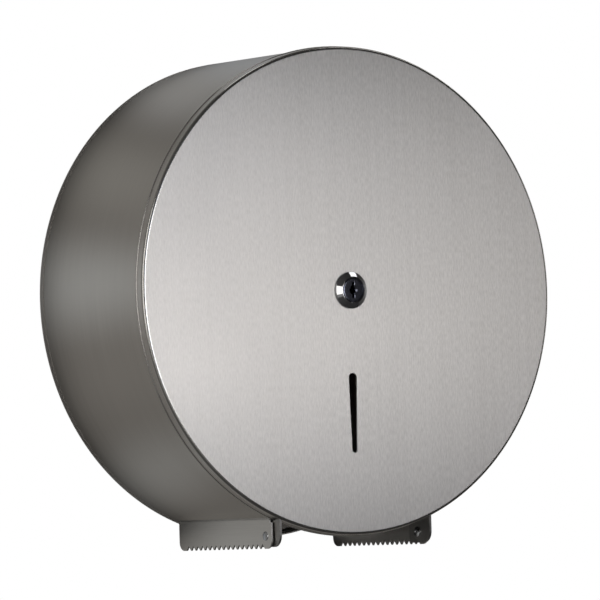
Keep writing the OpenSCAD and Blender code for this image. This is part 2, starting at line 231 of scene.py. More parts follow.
def roundRing(name, r, hole, back, front, edge=0.15, steps=64):
    # a washer with its edges rolled
    profile = [(hole + edge, back), (r - edge, back), (r, back + edge), (r, front - edge), (r - edge, front),
               (hole + edge, front), (hole, front - edge), (hole, back + edge), (hole + edge, back)]
    return turned(name, profile, steps)


def hexNut(name, flats, hole, back, front, x=0, z=0):
    # a hexagon bar sliced off, its six corners turned down to a cone on both faces
    cornerR = flats / 2 / math.cos(math.pi / 6)
    nut = peg(cornerR, back, front, x, z, 6)
    wide, narrow, drop = cornerR * 1.02, cornerR * 0.9, (front - back) * 0.14
    cone = turned("cone", [(0, back), (narrow, back), (wide, back + drop), (wide, front - drop),
                           (narrow, front), (0, front)], 60, "Y", (x, 0, z))
    cutOut(nut, cone, how="INTERSECT")
    cutOut(nut, peg(hole, back - 1, front + 1, x, z, 36))
    soften(nut, 0.15)
    nut.name = name
    return nut


def threadTurns(start, stop, pitch, rootR, crestR, crest):
    # the root and crest of each turn of a thread, as (radius, distance) points
    points = []
    away = start
    while away < stop:
        points += [(rootR, away), (crestR, away + crest[0]), (crestR, away + crest[1])]
        away += pitch
    return points


def mapGrain(piece, around=False):
    # UV map in metres: u runs across the brush lines and v along them
    mesh = piece.data
    grain = mesh.uv_layers.new(name="grain")
    for face in mesh.polygons:
        normal = face.normal
        middle = math.atan2(face.center.x, face.center.z)
        for corner in face.loop_indices:
            p = mesh.vertices[mesh.loops[corner].vertex_index].co
            if abs(normal.y) > 0.7:
                grain.data[corner].uv = (p.x, p.z)
            elif around:
                bend = math.atan2(p.x, p.z) - middle
                bend = (bend + math.pi) % math.tau - math.pi
                grain.data[corner].uv = (p.y, (middle + bend) * drumR)
            elif abs(normal.x) > 0.7:
                grain.data[corner].uv = (p.z, p.y)
            else:
                grain.data[corner].uv = (p.x, p.y)


def finishPiece(piece, body, material, slot, *nodes, sharp=32, around=False):
    activate(piece)
    bpy.ops.object.transform_apply(location=True, rotation=True, scale=True)
    bpy.ops.object.shade_smooth_by_angle(angle=math.radians(sharp))
    useModifier(piece, "WEIGHTED_NORMAL", keep_sharp=True)
    for layer in list(piece.data.uv_layers):
        piece.data.uv_layers.remove(layer)
    mapGrain(piece, around)
    piece.data.materials.clear()
    piece.data.materials.append(material)
    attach(piece, body)
    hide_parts(*nodes)
    print("made", piece.name)
    return piece


def burnish(piece, test):
    # gives pressed corners the polish that the die leaves; picks faces by radius and distance from the wall
    piece.data.materials.append(burnishedSteel)
    for face in piece.data.polygons:
        middle = face.center / mm
        if test(math.hypot(middle.x, middle.z), -middle.y):
            face.material_index = 1


def hexColour(code):
    # an sRGB hex colour as linear values
    parts = [int(code[i:i + 2], 16) / 255 for i in (0, 2, 4)]
    return tuple(c / 12.92 if c <= 0.04045 else ((c + 0.055) / 1.055) ** 2.4 for c in parts) + (1,)


def addNode(tree, kind, inputs=(), **settings):
    node = tree.nodes.new("ShaderNode" + kind)
    for setting, value in settings.items():
        setattr(node, setting, value)
    for socket, value in dict(inputs).items():
        if isinstance(value, bpy.types.NodeSocket):
            tree.links.new(value, node.inputs[socket])
        else:
            node.inputs[socket].default_value = value
    return node


def newMaterial(name):
    material = bpy.data.materials.new(name)
    material.use_nodes = True
    material.node_tree.nodes.clear()
    return material, material.node_tree


def twoTones(tree, amount, ends, dark, light):
    # a dark and a light colour, blended between two ends of a pattern
    ramp = addNode(tree, "ValToRGB", {"Fac": amount})
    for element, position, code in zip(ramp.color_ramp.elements, ends, (dark, light)):
        element.position = position
        element.color = hexColour(code)
    return ramp.outputs["Color"]


def spread(tree, amount, ends, values, **settings):
    # stretches part of a pattern over a range of values
    stretch = addNode(tree, "MapRange", {
        "Value": amount, "From Min": ends[0], "From Max": ends[1], "To Min": values[0], "To Max": values[1]},
        **settings)
    return stretch.outputs["Result"]


def brushedStainless(name, look):
    # stainless sheet rubbed one way with an abrasive belt: its lines draw a light out across them
    material, tree = newMaterial(name)
    grain = addNode(tree, "UVMap", uv_map="grain")
    place = addNode(tree, "TexCoord")
    fineScale = (1 / look["lineWidth"], 1 / look["lineLength"], 1)
    fine = addNode(tree, "Mapping", {"Vector": grain.outputs["UV"], "Scale": fineScale})
    lines = addNode(tree, "TexNoise", {
        "Vector": fine.outputs[0], "Scale": 1, "Detail": 4, "Roughness": 0.62}, noise_dimensions="2D")
    broadScale = (1 / look["streakWidth"], 1 / look["streakLength"], 1)
    broad = addNode(tree, "Mapping", {"Vector": grain.outputs["UV"], "Scale": broadScale})
    streaks = addNode(tree, "TexNoise", {
        "Vector": broad.outputs[0], "Scale": 1, "Detail": 2, "Roughness": 0.5}, noise_dimensions="2D")
    handled = addNode(tree, "TexNoise", {
        "Vector": place.outputs["Object"], "Scale": 14, "Detail": 3, "Roughness": 0.55, "Distortion": 0.4})
    both = addNode(tree, "Mix", {
        "Factor": look["streaks"], "A": lines.outputs["Fac"], "B": streaks.outputs["Fac"]})
    tint = twoTones(tree, both.outputs["Result"], (0.3, 0.7), look["darkLine"], look["lightLine"])
    rubbed = spread(tree, both.outputs["Result"], (0.25, 0.75), look["roughness"])
    greasy = spread(tree, handled.outputs["Fac"], (0.35, 0.7), (-look["handling"], look["handling"]))
    rough = addNode(tree, "Math", {0: rubbed, 1: greasy}, operation="ADD")
    relief = addNode(tree, "Bump", {
        "Strength": look["relief"], "Distance": 0.00002, "Height": lines.outputs["Fac"]})
    tangent = addNode(tree, "Tangent", direction_type="UV_MAP", uv_map="grain")
    shader = addNode(tree, "BsdfPrincipled", {
        "Base Color": tint, "Metallic": 1, "Roughness": rough.outputs[0],
        "Anisotropic": look["anisotropy"], "Normal": relief.outputs[0], "Tangent": tangent.outputs[0]})
    addNode(tree, "OutputMaterial", {"Surface": shader.outputs[0]})
    return material


def platedMetal(name, look):
    # metal with a plated or cast skin: fine pitting breaks its shine, and its colour drifts a little
    material, tree = newMaterial(name)
    place = addNode(tree, "TexCoord")
    pits = addNode(tree, "TexNoise", {
        "Vector": place.outputs["Object"], "Scale": 1 / look["pitSize"], "Detail": 3, "Roughness": 0.6})
    drift = addNode(tree, "TexNoise", {
        "Vector": place.outputs["Object"], "Scale": 1 / look["driftSize"], "Detail": 2, "Roughness": 0.5,
        "Distortion": 0.3})
    tint = twoTones(tree, drift.outputs["Fac"], (0.35, 0.65), look["dark"], look["light"])
    rough = spread(tree, pits.outputs["Fac"], (0.3, 0.7), look["roughness"])
    relief = addNode(tree, "Bump", {
        "Strength": look["relief"], "Distance": 0.00003, "Height": pits.outputs["Fac"]})
    shader = addNode(tree, "BsdfPrincipled", {
        "Base Color": tint, "Metallic": 1, "Roughness": rough, "Normal": relief.outputs[0]})
    addNode(tree, "OutputMaterial", {"Surface": shader.outputs[0]})
    return material


def mouldedPlastic(name, look):
    # injection-moulded plastic: an even satin skin from a spark-eroded mould, with a slow drift in its tone
    material, tree = newMaterial(name)
    place = addNode(tree, "TexCoord")
    texture = addNode(tree, "TexNoise", {
        "Vector": place.outputs["Object"], "Scale": 1 / look["textureSize"], "Detail": 2, "Roughness": 0.5})
    drift = addNode(tree, "TexNoise", {
        "Vector": place.outputs["Object"], "Scale": 1 / look["driftSize"], "Detail": 3})
    tint = twoTones(tree, drift.outputs["Fac"], (0.35, 0.65), look["dark"], look["light"])
    rough = spread(tree, texture.outputs["Fac"], (0.3, 0.7), look["roughness"])
    relief = addNode(tree, "Bump", {
        "Strength": look["relief"], "Distance": 0.00004, "Height": texture.outputs["Fac"]})
    shader = addNode(tree, "BsdfPrincipled", {
        "Base Color": tint, "Roughness": rough, "IOR": look["ior"], "Normal": relief.outputs[0],
        "Subsurface Weight": look["glow"], "Subsurface Scale": look["glowDepth"]})
    addNode(tree, "OutputMaterial", {"Surface": shader.outputs[0]})
    return material


# brush lines are about 0.1 mm wide on the real sheet, and drawn five to nine times coarser to show at all
lidSteel = brushedStainless("brushedStainlessLid", {   # satin: short upright lines spread a light sideways
    "lineWidth": 0.0009, "lineLength": 0.004, "streakWidth": 0.004, "streakLength": 0.16, "streaks": 0.15,
    "darkLine": "c8c5c1", "lightLine": "dddad6", "roughness": (0.31, 0.41), "handling": 0.012,
    "relief": 0.1, "anisotropy": 0.9})
bandSteel = brushedStainless("brushedStainlessBand", {   # long lines smear what stands beside the drum
    "lineWidth": 0.0006, "lineLength": 0.06, "streakWidth": 0.005, "streakLength": 0.2, "streaks": 0.4,
    "darkLine": "c8c5c0", "lightLine": "cfccc7", "roughness": (0.34, 0.40), "handling": 0.015,
    "relief": 0.08, "anisotropy": 0.85})
bladeSteel = brushedStainless("brushedStainlessBlade", {   # the same sheet, evener where it was cut small
    "lineWidth": 0.0005, "lineLength": 0.03, "streakWidth": 0.003, "streakLength": 0.08, "streaks": 0.3,
    "darkLine": "d4d2ce", "lightLine": "dddbd7", "roughness": (0.34, 0.40), "handling": 0.015,
    "relief": 0.08, "anisotropy": 0.4})
burnishedSteel = platedMetal("burnishedStainlessEdge", {   # pressed corners shine, and mirror thin dark lines
    "dark": "c9c7c3", "light": "d2d0cc", "pitSize": 0.0008, "driftSize": 0.03,
    "roughness": (0.14, 0.20), "relief": 0.05})
plainSteel = platedMetal("coldRolledSteel", {   # dull grey sheet inside, never rubbed
    "dark": "9b9a98", "light": "aeadab", "pitSize": 0.0008, "driftSize": 0.02,
    "roughness": (0.32, 0.46), "relief": 0.25})
zincPlate = platedMetal("brightZincPlate", {   # small fasteners with a cool, slightly milky shine
    "dark": "b3b6ba", "light": "cdd0d2", "pitSize": 0.0004, "driftSize": 0.008,
    "roughness": (0.12, 0.2), "relief": 0.12})
bezelChrome = platedMetal("polishedChromePlate", {   # the bezel mirrors lamps and dark room with hard edges
    "dark": "bfc0c3", "light": "c8c9cb", "pitSize": 0.0005, "driftSize": 0.01,
    "roughness": (0.05, 0.09), "relief": 0.03})
plugChrome = platedMetal("tintedChromePlug", {   # darker and bluer than the bezel, and less sharp
    "dark": "787b8a", "light": "868998", "pitSize": 0.0004, "driftSize": 0.008,
    "roughness": (0.16, 0.22), "relief": 0.06})
castAlloy = platedMetal("dieCastAlloy", {   # grainy matt grey of a cast spindle
    "dark": "9a9b9d", "light": "b2b3b4", "pitSize": 0.0006, "driftSize": 0.03,
    "roughness": (0.38, 0.52), "relief": 0.5})
whitePlastic = mouldedPlastic("mouldedPolypropylene", {   # off-white satin, with a soft depth at its edges
    "dark": "dcdcd4", "light": "e6e6df", "textureSize": 0.0006, "driftSize": 0.025, "roughness": (0.36, 0.46),
    "relief": 0.3, "ior": 1.53, "glow": 0.06, "glowDepth": 0.002})
print("materials made")


# lid: a pressed disc with a turned rim, a small bead near the rim's edge and a tapered level slot
# rings and hold are extra rows of faces, which keep the flat sheet flat beside its corners
lid = {"r": 155, "front": 126, "back": 118, "t": 1, "corner": 2, "edge": 0.25, "rings": (50, 110),
       "hold": 0.6, "beadAt": 118.8, "beadW": 0.6, "beadH": 0.6, "beadTop": [(0, 1.0), (0.06, 0.72)],
       "beadFoot": (0.04, -0.6), "polishFrom": 0.02, "soft": 0.18, "steps": 192}
cornerAt = (lid["r"] - lid["corner"], lid["front"] - lid["corner"])
rimIn, sheetBack = lid["r"] - lid["t"], lid["front"] - lid["t"]
bead = [(lid["beadH"] * rise, lid["beadW"] * along) for rise, along in arc((0, 0), 1, 70, -70, 8)]
bead = lid["beadTop"] + bead + [lid["beadFoot"]]
profile = [(0, lid["front"])] + [(r, lid["front"]) for r in lid["rings"]]
profile += [(cornerAt[0] - lid["hold"], lid["front"])]
profile += arc(cornerAt, lid["corner"], 90, 0, 8)
profile += [(lid["r"], cornerAt[1] - lid["hold"])]
profile += [(lid["r"] + rise, lid["beadAt"] + along) for rise, along in bead]
profile += arc((lid["r"] - lid["edge"], lid["back"] + lid["edge"]), lid["edge"], 0, -90, 3)
profile += arc((rimIn + lid["edge"], lid["back"] + lid["edge"]), lid["edge"], -90, -180, 3)
profile += arc(cornerAt, lid["corner"] - lid["t"], 0, 90, 5)
profile += [(r, sheetBack) for r in reversed(lid["rings"])] + [(0, sheetBack)]
lidPiece = turned("lidShell", profile, lid["steps"])

levelSlot = {"top": -52.3, "bottom": -103.0, "topWidth": 6.2, "lowWidth": 3.8, "cutFrom": 130, "cutDepth": 8}
topR, lowR = levelSlot["topWidth"] / 2, levelSlot["lowWidth"] / 2
topMiddle = Vector((0, -levelSlot["cutFrom"], levelSlot["top"] - topR)) * mm
deselect()
bpy.ops.mesh.primitive_circle_add(
    vertices=48, radius=topR * mm, fill_type="NGON", location=topMiddle, rotation=(math.pi / 2, 0, 0))
slotCutter = bpy.context.object
editing(slotCutter)
pickVerts(lambda p: p.z < levelSlot["top"] - topR + 0.01)   # the lower half moves down and shrinks
bpy.ops.transform.resize(value=(lowR / topR,) * 3, center_override=topMiddle)
bpy.ops.transform.translate(value=(0, 0, (levelSlot["bottom"] + lowR - levelSlot["top"] + topR) * mm))
bpy.ops.mesh.select_all(action="SELECT")
bpy.ops.mesh.extrude_region_move(TRANSFORM_OT_translate={"value": (0, levelSlot["cutDepth"] * mm, 0)})
tidyMesh()
lockHole = {"r": 9.6, "flat": 8.35, "back": 120, "front": 130}
holeCutter = peg(lockHole["r"], lockHole["back"], lockHole["front"], vertices=64)
editing(holeCutter)
for side in (1, -1):   # two flats keep the lock from turning in the sheet
    bpy.ops.mesh.select_all(action="SELECT")
    bpy.ops.mesh.bisect(
        plane_co=(0, 0, side * lockHole["flat"] * mm), plane_no=(0, 0, side), use_fill=True, clear_outer=True)
tidyMesh()
earSlit = {"at": 57.15, "half": 1.05, "back": 117, "front": 125.1, "low": -156, "top": -140.09}
slitCutters = [block((x - earSlit["half"], -earSlit["front"], earSlit["low"]),
                     (x + earSlit["half"], -earSlit["back"], earSlit["top"]))
               for x in (-earSlit["at"], earSlit["at"])]
cutOut(lidPiece, slotCutter, holeCutter, *slitCutters)
soften(lidPiece, lid["soft"])
finishPiece(lidPiece, "lid", lidSteel, "satin_steel", "lid_shell", around=True)
burnish(lidPiece, lambda r, away: r > lid["r"] + lid["polishFrom"] or (
    r > cornerAt[0] and away > cornerAt[1]))


# drum: the band is necked in under the lid's rim and inside the rear panel
band = {"r": 154.6, "neck": 153.4, "t": 1, "back": 2.55, "front": 124.5, "backStep": 6, "frontStep": 117.5,
        "rings": (40, 80), "ease": 0.1, "soft": 0.15, "steps": 192}
outlet = {"half": 60.05, "back": 10.5, "front": 130, "low": -160, "top": -60}
bandIn, neckIn, bend = band["r"] - band["t"], band["neck"] - band["t"], band["r"] - band["neck"]
profile = [(band["neck"], band["back"]), (band["neck"], band["backStep"])]
profile += arc((band["neck"], band["backStep"] + bend), bend, -80, 0, 6)
profile += [(band["r"], away) for away in band["rings"]]
profile += arc((band["neck"], band["frontStep"] - bend), bend, 0, 80, 6)
profile += [(band["neck"], band["frontStep"]), (band["neck"], band["front"]), (neckIn, band["front"]),
            (neckIn, band["frontStep"] - band["t"]), (bandIn, band["frontStep"] - band["t"] - band["ease"])]
profile += [(bandIn, away) for away in reversed(band["rings"])]
profile += [(bandIn, band["backStep"] + band["t"] + band["ease"]), (neckIn, band["backStep"] + band["t"]),
            (neckIn, band["back"]), (band["neck"], band["back"])]
bandPiece = turned("drumBand", profile, band["steps"])
cutOut(bandPiece, block((-outlet["half"], -outlet["front"], outlet["low"]),
                        (outlet["half"], -outlet["back"], outlet["top"])))
soften(bandPiece, band["soft"], angle=60)
finishPiece(bandPiece, "casing", bandSteel, "satin_steel", "drum_band", around=True)

panel = {"r": 154.45, "t": 1, "corner": 2.5, "flange": 5.5, "edge": 0.2, "rings": (60, 120), "hold": 0.6,
         "pitch": 75, "hole": 3.25, "holeFrom": -2, "holeTo": 3, "soft": 0.15, "steps": 192}
cornerAt = (panel["r"] - panel["corner"], panel["corner"])
panelIn = panel["r"] - panel["t"]
profile = [(0, 0)] + [(r, 0) for r in panel["rings"]] + [(cornerAt[0] - panel["hold"], 0)]
profile += arc(cornerAt, panel["corner"], -90, 0, 8)
profile += arc((panel["r"] - panel["edge"], panel["flange"] - panel["edge"]), panel["edge"], 0, 90, 2)
profile += arc((panelIn + panel["edge"], panel["flange"] - panel["edge"]), panel["edge"], 90, 180, 2)
profile += arc(cornerAt, panel["corner"] - panel["t"], 0, -90, 5)
profile += [(r, panel["t"]) for r in reversed(panel["rings"])] + [(0, panel["t"])]
panelPiece = turned("rearPanel", profile, panel["steps"])
cutOut(panelPiece, *[peg(panel["hole"], panel["holeFrom"], panel["holeTo"], x * panel["pitch"],
                         z * panel["pitch"], 40) for x in (-1, 1) for z in (-1, 1)])
soften(panelPiece, panel["soft"])
finishPiece(panelPiece, "casing", bandSteel, "satin_steel", "rear_panel", around=True)


# tear blades: a toothed plate and a welding flange; the right one is the left one mirrored
blade = {"out": -60, "t": 1.2, "back": 10.5, "nose": 118.5, "shoulder": 116.5, "tip": -161.9,
         "noseTop": -145.52, "top": -140.8, "corner": 5.5, "teeth": 16, "pitch": 5.4, "toothH": 3,
         "land": 0.4, "soft": 0.12, "pinR": 2.02, "pinL": 6, "pinAt": (-59.4, -111.5, -153.9)}
teethBack = (blade["back"] + blade["nose"] - blade["teeth"] * blade["pitch"]) / 2
half = (blade["pitch"] - blade["land"]) / 2
low = blade["tip"] + blade["corner"]
outline = [(blade["back"], blade["top"])]
outline += arc((blade["back"] + blade["corner"], low), blade["corner"], 180, 270, 6)
for i in range(blade["teeth"] + 1):
    notch = teethBack + i * blade["pitch"]
    outline += [(notch - half, blade["tip"]), (notch, blade["tip"] + blade["toothH"]),
                (notch + half, blade["tip"])]
outline += arc((blade["nose"] - blade["corner"], low), blade["corner"], 270, 360, 6)
outline += [(blade["nose"], blade["noseTop"]), (blade["shoulder"], blade["noseTop"]),
            (blade["shoulder"], blade["top"])]
bladePlate = plate("tearBladeLeft", [(blade["out"], -away, z) for away, z in outline], (blade["t"], 0, 0))
cutOut(bladePlate, crossPeg(blade["pinR"], blade["pinL"], blade["pinAt"]))
soften(bladePlate, blade["soft"], 2, 25)
# the flange follows the band's inside and turns down into the plate
flange = {"r": 153.55, "front": 116.4, "far": -74, "inner": -58.8, "root": -141.7, "foot": -143.7,
          "bendTo": 0.2, "bendX": -60.3, "bendR": 1.5, "bendFrom": -60.6}
flangeIn = flange["r"] - blade["t"]
start, end = (math.degrees(math.asin(x / flange["r"])) for x in (flange["far"], blade["out"]))
section = arc((0, 0), flange["r"], start - 90, end - 90, 8)
section += [(blade["out"], flange["foot"]), (flange["inner"], flange["foot"]),
            (flange["inner"], flange["root"] - flange["bendTo"])]
section += arc((flange["bendX"], flange["root"]), flange["bendR"], 0, 70, 4)
start, end = (math.degrees(math.asin(x / flangeIn)) for x in (flange["bendFrom"], flange["far"]))
section += arc((0, 0), flangeIn, start - 90, end - 90, 8)
flangePlate = plate("flange", [(x, -blade["back"], z) for x, z in section],
                    (0, blade["back"] - flange["front"], 0))
soften(flangePlate, blade["soft"], 2, 40)
bladeLeft = joined([bladePlate, flangePlate])
bladeRight = mirrored(bladeLeft)
bladeRight.name = "tearBladeRight"
finishPiece(bladeLeft, "casing", bladeSteel, "satin_steel", "tear_blade_left")
finishPiece(bladeRight, "casing", bladeSteel, "satin_steel", "tear_blade_right")


# lid hinge: two ears on one strip behind the lid, two rivets and two washers
hinge = {"pinAway": 111.5, "pinUp": -153.9, "pinR": 2.08, "pinL": 6, "earOut": -57.9, "earT": 1.5,
         "earBack": 102, "earFront": 125, "earTip": -160.9, "frontCorner": 7.5, "backCorner": 4,
         "neckBack": 113, "neckLow": -140.09, "stripLow": -137.2, "stripTop": -117.2, "soft": 0.3}
outline = [(hinge["earBack"], hinge["neckLow"])]
outline += arc((hinge["earBack"] + hinge["backCorner"], hinge["earTip"] + hinge["backCorner"]),
               hinge["backCorner"], 180, 270, 6)
outline += arc((hinge["earFront"] - hinge["frontCorner"], hinge["earTip"] + hinge["frontCorner"]),
               hinge["frontCorner"], 270, 360, 8)
outline += [(hinge["earFront"], hinge["stripTop"]), (hinge["neckBack"], hinge["stripTop"]),
            (hinge["neckBack"], hinge["neckLow"])]
ears = []
for x in (hinge["earOut"], -hinge["earOut"] - hinge["earT"]):
    ear = plate("ear", [(x, -away, z) for away, z in outline], (hinge["earT"], 0, 0))
    cutOut(ear, crossPeg(hinge["pinR"], hinge["pinL"], (x, -hinge["pinAway"], hinge["pinUp"])))
    ears.append(ear)
strip = block((hinge["earOut"], -hinge["earFront"], hinge["stripLow"]),
              (-hinge["earOut"], -hinge["earFront"] + hinge["earT"], hinge["stripTop"]))
cutOut(strip, *ears, how="UNION")
strip.name = "lidHingeBracket"
soften(strip, hinge["soft"])
finishPiece(strip, "lid", plainSteel, "plain_steel", "lid_hinge_bracket")

# both outlines are (radius, distance) points; the rivet's runs from its domed head to its peened tail
rivet = {"steps": 40, "outline": [
    (0, -60.7), (1.3, -60.65), (2.2, -60.5), (2.8, -60.28), (3, -60), (2, -60), (2, -56.3), (3.2, -56.3),
    (3.2, -55.6), (2.7, -55.32), (1.2, -55.2), (0.9, -55.55), (0, -55.65)]}
washer = {"steps": 40, "outline": [
    (2.02, -58.7), (2.12, -58.8), (4.3, -58.8), (4.5, -58.6), (4.5, -58.2), (4.3, -58.0), (2.12, -58.0),
    (2.02, -58.1), (2.02, -58.7)]}
pinAt = (0, -hinge["pinAway"], hinge["pinUp"])
rivetLeft = turned("hingeRivets", rivet["outline"], rivet["steps"], "X", pinAt)
washerLeft = turned("hingeWashers", washer["outline"], washer["steps"], "X", pinAt)
for small, node in ((rivetLeft, "hinge_rivets"), (washerLeft, "hinge_washers")):
    finishPiece(joined([small, mirrored(small)]), "casing", zincPlate, "zinc_plate", node)


# lock: bezel and threaded barrel, plug, washers, nuts and cam
lock = {"bore": 6.58, "face": 126, "recessR": 7.95, "recessBack": 126.6, "steps": 96, "bezel": [
    (11.4, 126), (11.7, 126.12), (11.7, 127.4), (11.5, 127.65), (8.75, 129.78), (8.62, 129.94), (8.5, 130),
    (8.12, 130), (7.95, 129.85)]}
profile = [(lock["bore"], lock["face"])] + lock["bezel"]
profile += [(lock["recessR"], lock["recessBack"]), (lock["bore"], lock["recessBack"]),
            (lock["bore"], lock["face"])]
bezel = turned("lockBody", profile, lock["steps"])
barrel = {"r": 9.5, "rootR": 8.95, "endR": 9.1, "neckR": 9.3, "back": 106, "neckBack": 125, "pitch": 1.25,
          "lead": 0.2, "crest": (0.5625, 0.75), "flatAt": 8.25, "flatTo": 11.75, "flatHalf": 12,
          "flatBack": 100, "flatFront": 130, "steps": 72}
profile = [(lock["bore"], barrel["back"]), (barrel["endR"], barrel["back"])]
profile += threadTurns(barrel["back"] + barrel["lead"], barrel["neckBack"] - barrel["pitch"], barrel["pitch"],
                       barrel["rootR"], barrel["r"], barrel["crest"])
profile += [(barrel["neckR"], barrel["neckBack"]), (barrel["neckR"], lock["face"]),
            (lock["bore"], lock["face"]), (lock["bore"], barrel["back"])]
barrelPiece = turned("barrel", profile, barrel["steps"])
for low, high in ((barrel["flatAt"], barrel["flatTo"]), (-barrel["flatTo"], -barrel["flatAt"])):
    cutOut(barrelPiece, block((-barrel["flatHalf"], -barrel["flatFront"], low),
                              (barrel["flatHalf"], -barrel["flatBack"], high)))
finishPiece(joined([bezel, barrelPiece]), "lid", bezelChrome, "dark_chrome", "lock_body", sharp=28)

plug = {"front": 129.7, "dish": 0.02, "rounding": [(4.9, 0), (6.8, 0), (7.2, 0.06), (7.5, 0.28), (7.7, 0.65)],
        "faceR": 7.7, "headBack": 126.7, "r": 6.5, "tail": 105.8, "soft": 0.16, "steps": 80}
keyhole = {"r": 2.2, "slotHalf": 0.9, "slotReach": 5, "back": 109, "front": 131, "steps": 40,
           "bevel": [(0, 128.6), (2.1, 128.7), (3.1, 129.75), (3.1, 131), (0, 131)]}
profile = [(0, plug["front"] - plug["dish"])] + [(r, plug["front"] - drop) for r, drop in plug["rounding"]]
profile += [(plug["faceR"], plug["headBack"]), (plug["r"], plug["headBack"]), (plug["r"], plug["tail"]),
            (0, plug["tail"])]
plugPiece = turned("lockPlug", profile, plug["steps"])
cutOut(plugPiece, turned("countersink", keyhole["bevel"], keyhole["steps"]),
       peg(keyhole["r"], keyhole["back"], keyhole["front"], vertices=keyhole["steps"]),
       block((-keyhole["slotHalf"], -keyhole["front"], -keyhole["slotReach"]),
             (keyhole["slotHalf"], -keyhole["back"], keyhole["slotReach"])))
soften(plugPiece, plug["soft"], 2, 60)
# the plug's tail: a square for the cam and a threaded stud for its nut
tail = {"half": 3.5, "back": 103.8, "front": 105.82, "soft": 0.2, "r": 3, "rootR": 2.55, "endR": 2.4,
        "neckR": 2.8, "studBack": 99, "lead": 0.15, "runOut": 0.9, "pitch": 0.8, "crest": (0.4, 0.5),
        "steps": 40}
square = block((-tail["half"], -tail["front"], -tail["half"]), (tail["half"], -tail["back"], tail["half"]))
soften(square, tail["soft"])
profile = [(0, tail["studBack"]), (tail["endR"], tail["studBack"])]
profile += threadTurns(tail["studBack"] + tail["lead"], tail["back"] - tail["runOut"], tail["pitch"],
                       tail["rootR"], tail["r"], tail["crest"])
profile += [(tail["neckR"], tail["back"]), (0, tail["back"])]
stud = turned("stud", profile, tail["steps"])
finishPiece(joined([plugPiece, square, stud]), "lock", plugChrome, "dark_chrome", "lock_plug", sharp=28)

lockWasher = {"r": 13, "hole": 9.6, "back": 124.2, "front": 125}
lockNut = {"flats": 24, "hole": 9.52, "back": 120.7, "front": 124.2}
camWasher = {"r": 6, "hole": 3.1, "back": 103.0, "front": 103.8}
camNut = {"flats": 10, "hole": 3.02, "back": 100, "front": 103}
finishPiece(roundRing("lockWasher", **lockWasher), "lid", zincPlate, "zinc_plate", "lock_washer")
finishPiece(hexNut("lockNut", **lockNut), "lid", zincPlate, "zinc_plate", "lock_nut")
finishPiece(roundRing("camWasher", **camWasher), "lock", zincPlate, "zinc_plate", "cam_washer")
finishPiece(hexNut("camNut", **camNut), "lock", zincPlate, "zinc_plate", "cam_nut")

cam = {"hub": 6.9, "arm": 4.5, "reach": 16, "corner": 2, "back": 103.8, "front": 105.8, "square": 3.52,
       "cutBack": 102, "cutFront": 107, "soft": 0.2}
neck = math.degrees(math.acos(cam["arm"] / cam["hub"]))
tip = cam["reach"] - cam["corner"]
outline = arc((0, 0), cam["hub"], neck, -180 - neck, 30)
outline += arc((-cam["arm"] + cam["corner"], tip), cam["corner"], 180, 90, 5)
outline += arc((cam["arm"] - cam["corner"], tip), cam["corner"], 90, 0, 5)
camPiece = plate("lockCam", [(x, -cam["back"], z) for x, z in outline], (0, cam["back"] - cam["front"], 0))
cutOut(camPiece, block((-cam["square"], -cam["cutFront"], -cam["square"]),
                       (cam["square"], -cam["cutBack"], cam["square"])))
soften(camPiece, cam["soft"])
finishPiece(camPiece, "lock", zincPlate, "zinc_plate", "lock_cam")


# spindle: the base and tube stay still, and the sleeve turns on them with the roll
base = {"studRing": 32.25, "studTurns": (45, 135, 225, 315), "hole": 2.1, "holeTo": 6, "steps": 96,
        "outline": [(0, 1), (39.7, 1), (40, 1.3), (40, 3.2), (39.2, 4), (25.6, 4), (24.8, 4.3), (24.5, 5),
                    (24.5, 8.7), (24.1, 9.1), (22.9, 9.1), (22.55, 8.8), (22.55, 4), (0, 4)]}
studPlaces = ringPlaces(base["studRing"], base["studTurns"])
basePiece = turned("spindleBase", base["outline"], base["steps"])
cutOut(basePiece, *[peg(base["hole"], 0, base["holeTo"], x, z, 24) for x, z in studPlaces])
finishPiece(basePiece, "casing", castAlloy, "cast_alloy", "spindle_base")
tube = {"steps": 96, "outline": [
    (17.2, 4), (22.2, 4), (22.5, 4.3), (22.5, 106.6), (22.1, 107), (17.6, 107), (17.2, 106.6), (17.2, 4)]}
tubePiece = turned("spindleTube", tube["outline"], tube["steps"])
finishPiece(tubePiece, "casing", castAlloy, "cast_alloy", "spindle_tube")

# the first stud and nut are made in place, and the other three are copies round the base
baseStud = {"r": 2.0, "rootR": 1.7, "back": 1, "footR": 1.8, "threadFrom": 1.3, "threadTo": 7.5, "pitch": 0.7,
            "crest": (0.3, 0.4), "end": [(1.9, 7.9), (1.6, 8.2), (0, 8.2)], "steps": 28}
baseNut = {"flats": 7, "hole": 2.02, "back": 4, "front": 7.2}
others = (90, 180, 270)
x, z = studPlaces[0]
profile = [(0, baseStud["back"]), (baseStud["footR"], baseStud["back"])]
profile += threadTurns(baseStud["threadFrom"], baseStud["threadTo"], baseStud["pitch"], baseStud["rootR"],
                       baseStud["r"], baseStud["crest"])
profile += baseStud["end"]
stud = turned("spindleStuds", profile, baseStud["steps"], "Y", (x, 0, z))
finishPiece(joined(turnedCopies(stud, others)), "casing", zincPlate, "zinc_plate", "spindle_studs")
nut = hexNut("spindleNuts", **baseNut, x=x, z=z)
finishPiece(joined(turnedCopies(nut, others)), "casing", zincPlate, "zinc_plate", "spindle_nuts")

